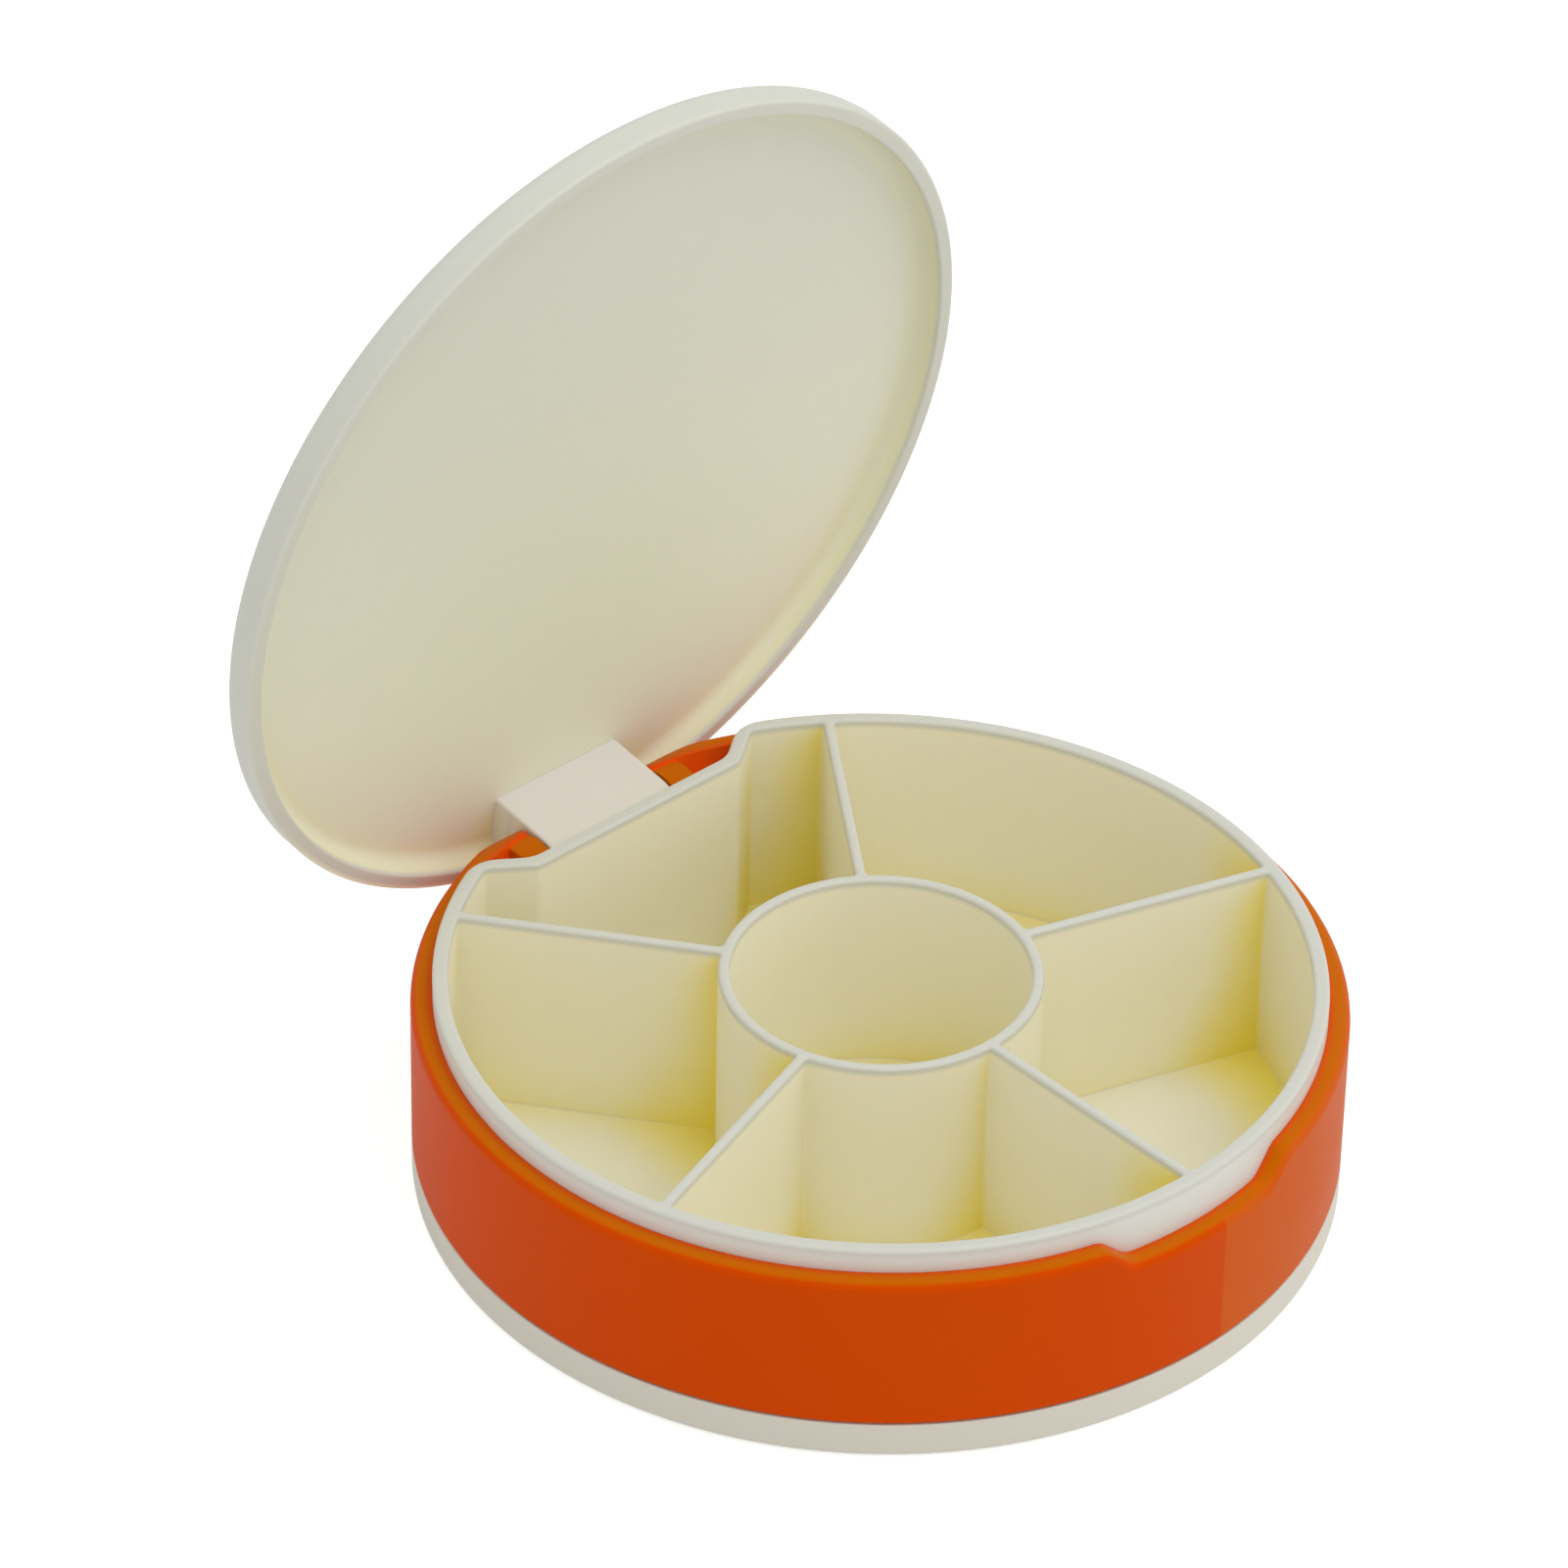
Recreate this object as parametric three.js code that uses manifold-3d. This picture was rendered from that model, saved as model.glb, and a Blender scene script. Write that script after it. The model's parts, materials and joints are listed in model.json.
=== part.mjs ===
// Round pill organizer: a cream tray with six compartments, an orange housing
// ring round it, and a cream lid hinged at the back on a steel pin.
// Millimetres, +Z up. The origin is the centre of the underside. The hinge is at
// the back (+Y) and the thumb notch is at the front (-Y).

import * as THREE from 'three';
import { mergeVertices } from 'three/addons/utils/BufferGeometryUtils.js';
import Module from 'manifold-3d';

const wasm = await Module();
wasm.setup();

// ---- driving dimensions ------------------------------------------------------

const GAP = 0.3; // clearance between pieces that seat on each other
const TURNS = 120; // facets round the tray and the lid, three degrees each
const RING_TURNS = 180; // the ring is finer, for the ends of its thumb notch

const BODY_RADIUS = 45; // foot, housing ring and lid share one outline
const FOOT_HEIGHT = 3.85;
const FOOT_EDGE_RADIUS = 0.8;

const TRAY_RADIUS = 42.78;
const TRAY_HEIGHT = 22.75;
const TRAY_WALL = 1.4;
const FLOOR_THICKNESS = 0.95;
const DIVIDER_THICKNESS = 1.05;
const DIVIDER_COUNT = 5;
const FIRST_DIVIDER_DEG = 54;
const CUP_RADIUS = 15.6;
const CUP_WALL = 1.1;
const RIM_RADIUS = 0.36;
const CORNER_RADIUS = 0.9;

const NOTCH_FACE = 35.92; // flat of the hinge notch, measured from the centre
const NOTCH_HALF_WIDTH = 12.77;
const NOTCH_FLARE_DEG = 35.8;

const RING_BOTTOM = FOOT_HEIGHT + GAP;
const RING_TOP = 20.35;
const RING_BORE = TRAY_RADIUS + 0.35;
const RING_OUTER_ROUND = 0.95;
const RING_INNER_ROUND = 0.4;
const THUMB_DROP = 2.35;
const THUMB_FLOOR_DEG = 10.6;
const THUMB_TOP_DEG = 16;

const LID_RADIUS = 44.84;
const LID_LIP = RING_TOP + GAP;
const LID_HEIGHT = 4.15;
const LID_DEPTH = 2.45;
const LID_BORE = 43.17;
const LID_COVE = 1.3;
const LID_CROWN = 1.9; // radius of the outer top edge

const HINGE_Y = 40.54;
const HINGE_Z = 15.97;
const KNUCKLE_RADIUS = 4.24;
const KNUCKLE_HALF_WIDTH = 7.85;
const LUG_RADIUS = 4.1;
const LUG_THICKNESS = 3.05;
const LUG_START = KNUCKLE_HALF_WIDTH + GAP;
const LUG_END = LUG_START + LUG_THICKNESS;
const PIN_RADIUS = 1;
const PIN_CLEARANCE = 0.06;
const PIN_HALF_LENGTH = LUG_END - 0.2;
const BLOCK_EDGE = 0.3; // rounded sides of the knuckle and the lugs
const LID_OPEN_DEG = 81.4;

const REAR_RELIEF_RADIUS = 4.45; // the rear rim is rounded about the hinge axis
const REAR_RELIEF_HALF_WIDTH = 17.4;
const REAR_SLOT_FLOOR = 9.8;

// ---- materials ---------------------------------------------------------------

const plastic = (color, roughness) =>
  new THREE.MeshStandardMaterial({ color, roughness, metalness: 0 });

const creamTray = plastic(0xe9e3bd, 0.38);
const creamLid = plastic(0xe6e3d0, 0.42);
const orange = plastic(0xe0560a, 0.4);
const steel = new THREE.MeshStandardMaterial({ color: 0xb9bcc0, roughness: 0.3, metalness: 1 });

// ---- from shapes to solids and back --------------------------------------------

const rad = THREE.MathUtils.degToRad;

function signedVolume(points, index) {
  const a = new THREE.Vector3();
  const b = new THREE.Vector3();
  const c = new THREE.Vector3();
  let sum = 0;
  for (let i = 0; i < index.length; i += 3) {
    a.fromArray(points, 3 * index[i]);
    b.fromArray(points, 3 * index[i + 1]);
    c.fromArray(points, 3 * index[i + 2]);
    sum += a.dot(b.cross(c)) / 6;
  }
  return sum;
}

// A closed geometry becomes a solid: vertices are merged, the slivers that a
// revolve leaves on its axis are dropped, and the faces are turned outwards.
function solid(geometry) {
  const bare = geometry.clone();
  bare.deleteAttribute('normal');
  bare.deleteAttribute('uv');
  const merged = mergeVertices(bare, 1e-4);
  const points = merged.attributes.position.array;
  const index = [];
  for (let i = 0; i < merged.index.count; i += 3) {
    const [a, b, c] = [0, 1, 2].map((k) => merged.index.getX(i + k));
    if (a !== b && b !== c && c !== a) {
      index.push(a, b, c);
    }
  }
  if (signedVolume(points, index) < 0) {
    index.reverse();
  }
  const mesh = new wasm.Mesh({
    numProp: 3,
    vertProperties: new Float32Array(points),
    triVerts: new Uint32Array(index),
  });
  return new wasm.Manifold(mesh);
}

function geometryOf(manifold) {
  const mesh = manifold.getMesh();
  const geometry = new THREE.BufferGeometry();
  geometry.setAttribute('position', new THREE.BufferAttribute(mesh.vertProperties, 3));
  geometry.setIndex(new THREE.BufferAttribute(mesh.triVerts, 1));
  geometry.computeVertexNormals();
  return geometry;
}

// ---- profiles and outlines -----------------------------------------------------

// Points of a round between two angles, about a centre in the profile plane.
function round(x, y, radius, fromDeg, toDeg, steps) {
  const points = [];
  for (let i = 0; i <= steps; i += 1) {
    const a = rad(fromDeg + ((toDeg - fromDeg) * i) / steps);
    points.push(new THREE.Vector2(x + radius * Math.cos(a), y + radius * Math.sin(a)));
  }
  return points;
}

// Revolves a profile of radius and height about the Z axis.
function revolve(profile, segments = TURNS) {
  return new THREE.LatheGeometry(profile, segments).rotateX(Math.PI / 2);
}

// Extrudes a profile drawn in the YZ plane from x = -halfWidth to +halfWidth, with
// the edges of its end faces rounded over by `edge`.
function acrossX(shape, halfWidth, edge = 0) {
  const geometry = new THREE.ExtrudeGeometry(shape, {
    depth: 2 * (halfWidth - edge),
    bevelEnabled: edge > 0,
    bevelThickness: edge,
    bevelSize: edge,
    bevelOffset: -edge,
    bevelSegments: 2,
    curveSegments: 20,
  });
  geometry.translate(0, 0, edge - halfWidth);
  geometry.rotateZ(Math.PI / 2);
  geometry.rotateY(Math.PI / 2);
  return geometry;
}

// Distance from the centre to the tray wall in one direction, `inset` inside its
// outer face. The wall is round, except where the hinge notch cuts straight in.
function wallReach(angle, inset) {
  const flare = rad(NOTCH_FLARE_DEG);
  const across = Math.abs(Math.cos(angle));
  const along = Math.sin(angle);
  if (along <= 0) {
    return TRAY_RADIUS - inset;
  }
  const toFlat = (NOTCH_FACE - inset) / along;
  const side = NOTCH_FACE * Math.cos(flare) - NOTCH_HALF_WIDTH * Math.sin(flare) - inset;
  const facing = along * Math.cos(flare) - across * Math.sin(flare);
  const toFlare = facing > 0 ? side / facing : Infinity;
  return Math.min(TRAY_RADIUS - inset, Math.max(toFlat, toFlare));
}

// The angles, measured from +Y, at which the notch outline turns a corner.
function notchCorners(inset) {
  const flare = rad(NOTCH_FLARE_DEG);
  const side = NOTCH_FACE * Math.cos(flare) - NOTCH_HALF_WIDTH * Math.sin(flare) - inset;
  const shoulder = Math.acos(side / (TRAY_RADIUS - inset)) - flare;
  const width = ((NOTCH_FACE - inset) * Math.cos(flare) - side) / Math.sin(flare);
  return [Math.atan2(width, NOTCH_FACE - inset), shoulder];
}

// Wall points between two angles, with a point on every corner of the notch.
function wallPoints(from, to, inset) {
  const step = (2 * Math.PI) / TURNS;
  const angles = [from, to];
  for (let a = Math.ceil(from / step + 0.25) * step; a < to - 0.25 * step; a += step) {
    angles.push(a);
  }
  for (const turn of notchCorners(inset)) {
    for (const a of [Math.PI / 2 - turn, Math.PI / 2 + turn]) {
      if (a > from && a < to) {
        angles.push(a);
      }
    }
  }
  angles.sort((a, b) => a - b);
  const points = [];
  for (const a of angles) {
    const r = wallReach(a, inset);
    const p = new THREE.Vector2(r * Math.cos(a), r * Math.sin(a));
    if (points.length === 0 || points.at(-1).distanceTo(p) > 0.5) {
      points.push(p);
    }
  }
  return points;
}

// Replaces each sharp corner of a closed outline with a round of the given size.
function softened(points, radius) {
  const out = [];
  points.forEach((corner, i) => {
    const before = points.at(i - 1);
    const after = points[(i + 1) % points.length];
    const u = before.clone().sub(corner);
    const v = after.clone().sub(corner);
    const turn = Math.PI - Math.abs(u.angleTo(v));
    if (turn < rad(12)) {
      out.push(corner);
      return;
    }
    const reach = Math.min(radius, 0.45 * u.length(), 0.45 * v.length());
    const start = corner.clone().add(u.setLength(reach));
    const end = corner.clone().add(v.setLength(reach));
    out.push(...new THREE.QuadraticBezierCurve(start, corner, end).getPoints(3));
  });
  return out;
}

// ---- tray ------------------------------------------------------------------------

// One compartment: cup wall inside, tray wall outside, a divider on each side.
function compartment(fromDeg, toDeg) {
  const half = DIVIDER_THICKNESS / 2;
  const outer = TRAY_RADIUS - TRAY_WALL;
  const from = rad(fromDeg);
  const to = rad(toDeg);
  const wall = wallPoints(from + half / outer, to - half / outer, TRAY_WALL);
  const lean = Math.asin(half / CUP_RADIUS);
  const cup = [];
  const steps = 12;
  for (let i = 0; i <= steps; i += 1) {
    const a = to - lean - ((to - from - 2 * lean) * i) / steps;
    cup.push(new THREE.Vector2(CUP_RADIUS * Math.cos(a), CUP_RADIUS * Math.sin(a)));
  }
  return softened([...wall, ...cup], CORNER_RADIUS);
}

// Walls, dividers and cup are one plate pierced by six pockets, with soft rims.
function trayWalls() {
  const seam = -Math.PI / 2;
  const step = (2 * Math.PI) / TURNS;
  const outline = wallPoints(seam, seam + 2 * Math.PI - step, 0);
  const plate = new THREE.Shape(softened(outline, CORNER_RADIUS));
  const pitch = 360 / DIVIDER_COUNT;
  for (let i = 0; i < DIVIDER_COUNT; i += 1) {
    const from = FIRST_DIVIDER_DEG + i * pitch;
    plate.holes.push(new THREE.Path(compartment(from, from + pitch)));
  }
  const cup = new THREE.Path();
  cup.absarc(0, 0, CUP_RADIUS - CUP_WALL, 0, 2 * Math.PI, false);
  plate.holes.push(new THREE.Path(cup.getPoints(30).slice(0, -1)));
  const base = 0.15;
  const walls = new THREE.ExtrudeGeometry(plate, {
    depth: TRAY_HEIGHT - base - 2 * RIM_RADIUS,
    bevelThickness: RIM_RADIUS,
    bevelSize: RIM_RADIUS,
    bevelOffset: -RIM_RADIUS,
    bevelSegments: 2,
  });
  return walls.translate(0, 0, base + RIM_RADIUS);
}

// Floor disc with the upstanding foot band that carries the housing ring.
function trayFoot() {
  const edge = FOOT_EDGE_RADIUS;
  const profile = [
    new THREE.Vector2(0, 0),
    ...round(BODY_RADIUS - edge, edge, edge, -90, 0, 4),
    new THREE.Vector2(BODY_RADIUS, FOOT_HEIGHT - 0.15),
    new THREE.Vector2(BODY_RADIUS - 0.15, FOOT_HEIGHT),
    new THREE.Vector2(TRAY_RADIUS - 0.6, FOOT_HEIGHT),
    new THREE.Vector2(TRAY_RADIUS - 0.6, FLOOR_THICKNESS),
    new THREE.Vector2(0, FLOOR_THICKNESS),
  ];
  return revolve(profile);
}

// The foot band stands inside the compartments nowhere: it is trimmed to the wall.
function makeTray() {
  const outline = wallPoints(-Math.PI / 2, 1.5 * Math.PI - (2 * Math.PI) / TURNS, 0.5);
  const clear = new THREE.ExtrudeGeometry(new THREE.Shape(outline), {
    depth: FOOT_HEIGHT,
    bevelEnabled: false,
  });
  clear.translate(0, 0, FLOOR_THICKNESS);
  return solid(trayFoot()).subtract(solid(clear)).add(solid(trayWalls()));
}

// ---- housing ring ------------------------------------------------------------------

// How far the rim is lowered at an angle from the front: the thumb notch.
function thumbDrop(angleFromFront) {
  const a = THREE.MathUtils.radToDeg(Math.abs(angleFromFront));
  return THUMB_DROP * (1 - THREE.MathUtils.smoothstep(a, THUMB_FLOOR_DEG, THUMB_TOP_DEG));
}

// The band is a revolved wall whose rounded rim is carried down into the notch.
function ringBand() {
  const r = BODY_RADIUS;
  const b = RING_BORE;
  const profile = [
    new THREE.Vector2(b, RING_BOTTOM),
    new THREE.Vector2(r - 0.2, RING_BOTTOM),
    new THREE.Vector2(r + 0.05, RING_BOTTOM + 0.25),
    ...round(r - RING_OUTER_ROUND, RING_TOP - RING_OUTER_ROUND, RING_OUTER_ROUND, 0, 90, 4),
    ...round(b + RING_INNER_ROUND, RING_TOP - RING_INNER_ROUND, RING_INNER_ROUND, 90, 180, 2),
    new THREE.Vector2(b, RING_BOTTOM),
  ];
  const band = revolve(profile, RING_TURNS);
  const position = band.attributes.position;
  for (let i = 0; i < position.count; i += 1) {
    const z = position.getZ(i);
    if (z > (RING_BOTTOM + RING_TOP) / 2) {
      const angle = Math.atan2(position.getX(i), -position.getY(i));
      position.setZ(i, z - thumbDrop(angle));
    }
  }
  return band;
}

// A knuckle's side outline: round over the hinge axis, with a web below it that
// runs back and down into the wall of the ring.
function lugShape() {
  const front = HINGE_Y - LUG_RADIUS;
  const back = BODY_RADIUS;
  const shape = new THREE.Shape();
  shape.moveTo(back, HINGE_Z);
  shape.lineTo(HINGE_Y + LUG_RADIUS, HINGE_Z);
  shape.absarc(HINGE_Y, HINGE_Z, LUG_RADIUS, 0, Math.PI, false);
  shape.lineTo(front, HINGE_Z - 5);
  shape.lineTo(BODY_RADIUS - 3.4, RING_BOTTOM + 0.1);
  shape.lineTo(back, RING_BOTTOM + 0.1);
  return shape;
}

// Everything behind the hinge axis that the lid's skirt sweeps through.
function rearRelief() {
  const sweep = new THREE.Shape();
  const top = RING_TOP + 1;
  sweep.moveTo(HINGE_Y + REAR_RELIEF_RADIUS, HINGE_Z);
  sweep.lineTo(BODY_RADIUS + 2, HINGE_Z);
  sweep.lineTo(BODY_RADIUS + 2, top);
  sweep.lineTo(HINGE_Y - 3, top);
  const reach = Math.acos(-2.2 / REAR_RELIEF_RADIUS);
  sweep.absarc(HINGE_Y, HINGE_Z, REAR_RELIEF_RADIUS, reach, 0, true);
  return acrossX(sweep, REAR_RELIEF_HALF_WIDTH);
}

// The open slot in the rear wall in which the lid's knuckle turns.
function rearSlot() {
  const slot = new THREE.Shape();
  const w = LUG_START;
  const soft = 1;
  slot.moveTo(-w, RING_TOP + 2);
  slot.lineTo(-w, REAR_SLOT_FLOOR + soft);
  slot.absarc(-w + soft, REAR_SLOT_FLOOR + soft, soft, Math.PI, 1.5 * Math.PI, false);
  slot.absarc(w - soft, REAR_SLOT_FLOOR + soft, soft, 1.5 * Math.PI, 2 * Math.PI, false);
  slot.lineTo(w, RING_TOP + 2);
  const cut = new THREE.ExtrudeGeometry(slot, { depth: 12, bevelEnabled: false, curveSegments: 4 });
  return cut.rotateX(Math.PI / 2).translate(0, BODY_RADIUS + 3, 0);
}

function pinBore() {
  const bore = new THREE.CylinderGeometry(
    PIN_RADIUS + PIN_CLEARANCE,
    PIN_RADIUS + PIN_CLEARANCE,
    2 * LUG_END + 1,
    24,
  );
  return bore.rotateZ(Math.PI / 2);
}

function makeRing() {
  const outside = [
    new THREE.Vector2(0, RING_BOTTOM),
    new THREE.Vector2(BODY_RADIUS - 0.3, RING_BOTTOM),
    new THREE.Vector2(BODY_RADIUS - 0.3, RING_TOP),
    new THREE.Vector2(0, RING_TOP),
  ];
  const inside = solid(revolve(outside, RING_TURNS));
  const lugs = solid(acrossX(lugShape(), LUG_END, BLOCK_EDGE)).intersect(inside);
  const bore = pinBore().translate(0, HINGE_Y, HINGE_Z);
  return solid(ringBand())
    .add(lugs)
    .subtract(solid(rearRelief()))
    .subtract(solid(rearSlot()))
    .subtract(solid(bore));
}

// ---- lid, drawn closed and then swung open about the pin ------------------------------

function lidShell() {
  const r = LID_RADIUS;
  const lip = LID_LIP;
  const face = lip + LID_DEPTH;
  const top = lip + LID_HEIGHT;
  const profile = [
    new THREE.Vector2(0, face),
    ...round(LID_BORE - LID_COVE - 0.06, face - LID_COVE, LID_COVE, 90, 0, 3),
    new THREE.Vector2(LID_BORE, lip + 0.25),
    new THREE.Vector2(LID_BORE + 0.25, lip),
    new THREE.Vector2(r - 0.35, lip),
    ...round(r - 0.35, lip + 0.35, 0.35, -60, 0, 2),
    ...round(r - LID_CROWN, top - LID_CROWN, LID_CROWN, 0, 90, 5),
    new THREE.Vector2(0, top),
  ];
  return revolve(profile);
}

// Knuckle: flat in front, round under the pin, flush with the lid's outline behind.
function knuckle() {
  const shape = new THREE.Shape();
  const top = LID_LIP + LID_DEPTH + 0.5;
  shape.moveTo(HINGE_Y - KNUCKLE_RADIUS, top);
  shape.lineTo(HINGE_Y - KNUCKLE_RADIUS, HINGE_Z);
  shape.absarc(HINGE_Y, HINGE_Z, KNUCKLE_RADIUS, Math.PI, 2 * Math.PI, false);
  shape.lineTo(HINGE_Y + KNUCKLE_RADIUS, top);
  return acrossX(shape, KNUCKLE_HALF_WIDTH, BLOCK_EDGE);
}

function makeLid() {
  const outline = [
    new THREE.Vector2(0, 0),
    new THREE.Vector2(LID_RADIUS - 0.04, 0),
    new THREE.Vector2(LID_RADIUS - 0.04, LID_LIP + LID_HEIGHT),
    new THREE.Vector2(0, LID_LIP + LID_HEIGHT),
  ];
  const block = solid(knuckle()).intersect(solid(revolve(outline)));
  const bore = pinBore().translate(0, HINGE_Y, HINGE_Z);
  return solid(lidShell()).add(block).subtract(solid(bore));
}

// ---- assembly ---------------------------------------------------------------------------

function piece(name, geometry, material) {
  const mesh = new THREE.Mesh(geometry, material);
  mesh.name = name;
  return mesh;
}

const group = new THREE.Group();

group.add(piece('tray', geometryOf(makeTray()), creamTray));
group.add(piece('housing_ring', geometryOf(makeRing()), orange));

const hinge = new THREE.Group();
hinge.position.set(0, HINGE_Y, HINGE_Z);
group.add(hinge);

const pin = new THREE.CylinderGeometry(PIN_RADIUS, PIN_RADIUS, 2 * PIN_HALF_LENGTH, 24);
hinge.add(piece('hinge_pin', pin.rotateZ(Math.PI / 2), steel));

const lid = piece('lid', geometryOf(makeLid()), creamLid);
lid.position.set(0, -HINGE_Y, -HINGE_Z);
const swing = new THREE.Group();
swing.rotation.x = -rad(LID_OPEN_DEG);
swing.add(lid);
hinge.add(swing);

export default group;
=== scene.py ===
import json
import math

import bmesh
import bpy
from mathutils import Matrix, Vector


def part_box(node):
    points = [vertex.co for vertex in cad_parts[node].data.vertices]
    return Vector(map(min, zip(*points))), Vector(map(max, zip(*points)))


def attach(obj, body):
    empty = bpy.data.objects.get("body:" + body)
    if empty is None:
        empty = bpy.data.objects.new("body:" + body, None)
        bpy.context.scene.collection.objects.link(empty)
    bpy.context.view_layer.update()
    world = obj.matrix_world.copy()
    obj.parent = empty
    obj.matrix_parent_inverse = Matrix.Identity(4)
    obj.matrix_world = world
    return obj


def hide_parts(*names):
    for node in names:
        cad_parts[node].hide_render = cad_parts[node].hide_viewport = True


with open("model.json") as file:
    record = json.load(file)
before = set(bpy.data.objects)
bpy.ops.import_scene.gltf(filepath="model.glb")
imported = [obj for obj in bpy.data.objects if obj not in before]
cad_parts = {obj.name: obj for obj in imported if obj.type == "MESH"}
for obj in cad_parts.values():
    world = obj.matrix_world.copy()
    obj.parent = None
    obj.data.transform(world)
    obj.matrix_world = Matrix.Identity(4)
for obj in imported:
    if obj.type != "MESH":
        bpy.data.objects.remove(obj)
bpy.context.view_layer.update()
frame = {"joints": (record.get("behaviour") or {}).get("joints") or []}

# ---- tray ------------------------------------------------------------------------------------------
# One cream polypropylene moulding: floor and foot band, outer wall, five dividers, the centre cup and
# the straight wall that makes room for the hinge. Every rim is rounded, and the floors of the pockets
# run into their walls with a small fillet. It is pushed up into the housing ring from below.

MM = 0.001

# Sizes, in millimetres.
tray_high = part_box("tray")[1]
foot_radius = tray_high.x / MM
tray_top = tray_high.z / MM
foot_height = 3.85
foot_edge = 0.8
foot_top_round = 0.2
foot_overlap = 0.7
wall_radius = 42.88
wall = 1.5
tray_floor = 0.95
floor_slab = 0.9
floor_fillet = 0.16
divider = 1.05
divider_count = 5
first_divider = math.radians(54)
cup_radius = 15.6
cup_wall = 1.1
rim_round = 0.38
pocket_corner = 0.42
notch_face = 35.92
notch_half_width = 12.77
notch_flare = math.radians(35.8)
notch_round = 1.1
shoulder_round = 2.4

# How finely the mesh is divided, and how close its points may come to a corner of an outline.
turn_steps = 360
pocket_steps = 72
cup_steps = 32
cup_turns = 144
round_steps = 5
shortest_leg = 0.05
corner_clearance = 0.3

# Colours, and where they begin and end. The amber in the corners is painted shade, felt more on the side
# away from the lights.
warm_cream = (0.975, 0.925, 0.725)
mottled_cream = (0.975, 0.93, 0.745)
floor_cream = (0.83, 0.81, 0.67)
painted_corner_shade = (0.99, 0.835, 0.13)
foot_painted_bounce = (0.735, 0.72, 0.615)
collar_cream = (0.78, 0.80, 0.735)
rim_painted_light = (0.665, 0.67, 0.605)
painted_shade_reach = 11
painted_shade_lean = (0.66, -0.60, -0.02)
foot_bounce_top = 5
collar_cream_bottom = 8
grain_share = 0.35
scuff_roughness = 0.16


def notch_side(inset):
    """How far the flared side of the notch stands from the axis, square to itself."""
    side = notch_face * math.cos(notch_flare) - notch_half_width * math.sin(notch_flare)
    return side - inset


def wall_reach(angle, inset):
    """From the axis to the tray wall, `inset` inside its outer face: round, but for the hinge notch."""
    radius = wall_radius - inset
    sideways = abs(math.cos(angle))
    rearwards = math.sin(angle)
    if rearwards <= 0:
        return radius
    facing = rearwards * math.cos(notch_flare) - sideways * math.sin(notch_flare)
    to_flare = notch_side(inset) / facing if facing > 0 else math.inf
    return min(radius, max((notch_face - inset) / rearwards, to_flare))


def notch_corners(inset):
    """The angles at which the notch turns a corner, on both sides of the hinge."""
    side = notch_side(inset)
    shoulder = math.acos(side / (wall_radius - inset)) - notch_flare
    width = ((notch_face - inset) * math.cos(notch_flare) - side) / math.sin(notch_flare)
    foot = math.atan2(width, notch_face - inset)
    return [math.pi / 2 + s * turn for turn in (foot, shoulder) for s in (-1, 1)]


def wall_line(start, end, inset, steps):
    """Points along the tray wall between two angles, with one on every corner of the notch."""
    corners = [a for a in notch_corners(inset) if start < a < end]
    even = [start + (end - start) * i / steps for i in range(steps + 1)]
    apart = corner_clearance * (end - start) / steps
    clear = [a for a in even if all(abs(a - c) > apart for c in corners)]
    line = []
    for a in sorted(clear + corners):
        reach = wall_reach(a, inset)
        line.append(Vector((reach * math.cos(a), reach * math.sin(a))))
    return line


def walk(outline, index, way, reach):
    """The point `reach` along an outline from one of its corners, and the corners passed on the way."""
    passed = []
    here = outline[index]
    while True:
        index = (index + way) % len(outline)
        leg = outline[index] - here
        if leg.length > reach + shortest_leg:
            return here + leg.normalized() * reach, passed
        reach = max(0.0, reach - leg.length)
        passed.append(index)
        here = outline[index]


def soften(outline, reach_at, steps=6, sharp=12):
    """Rounds the corners over `sharp` degrees of a closed outline, from `reach_at(corner)` away."""
    count = len(outline)
    turned = {}
    gone = set()
    for i, point in enumerate(outline):
        before = outline[i - 1] - point
        after = outline[(i + 1) % count] - point
        if math.pi - before.angle(after) > math.radians(sharp):
            start, passed = walk(outline, i, -1, reach_at(point))
            gone.update(passed)
            end, passed = walk(outline, i, 1, reach_at(point))
            gone.update(passed)
            turned[i] = (start, end)
    soft = []
    for i, point in enumerate(outline):
        if i in turned:
            start, end = turned[i]
            for k in range(steps + 1):
                t = k / steps
                soft.append(start * (1 - t) ** 2 + point * (2 * t * (1 - t)) + end * t ** 2)
        elif i not in gone:
            soft.append(point)
    return soft


def grow(outline, distance):
    """The same outline moved outwards by a distance, or inwards by a negative one."""
    grown = []
    count = len(outline)
    for i, point in enumerate(outline):
        before = (point - outline[i - 1]).normalized()
        after = (outline[(i + 1) % count] - point).normalized()
        out = Vector((before.y + after.y, -before.x - after.x))
        grown.append(point + out * (distance / (1 + before.dot(after))))
    return grown


def pocket(start, end):
    """One compartment: tray wall outside, cup wall inside and a divider on each side."""
    half = divider / 2
    outer = wall_radius - wall
    far = wall_line(start + half / outer, end - half / outer, wall, pocket_steps)
    lean = math.asin(half / cup_radius)
    near = []
    for i in range(cup_steps + 1):
        a = end - lean - (end - start - 2 * lean) * i / cup_steps
        near.append(Vector((cup_radius * math.cos(a), cup_radius * math.sin(a))))
    return soften(far + near, lambda corner: pocket_corner)


def circle(radius, count):
    """A round outline."""
    turn = 2 * math.pi / count
    return [Vector((radius * math.cos(i * turn), radius * math.sin(i * turn))) for i in range(count)]


def ring_of(mesh, outline, height):
    """Places an outline in a mesh at a height."""
    return [mesh.verts.new((p.x * MM, p.y * MM, height * MM)) for p in outline]


def skin(mesh, low, high):
    """Joins two rings that have the same number of points."""
    count = len(low)
    for i in range(count):
        j = (i + 1) % count
        mesh.faces.new((low[i], low[j], high[j], high[i]))


def skin_all(mesh, rings):
    """Joins a stack of rings in order."""
    for low, high in zip(rings, rings[1:]):
        skin(mesh, low, high)


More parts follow.
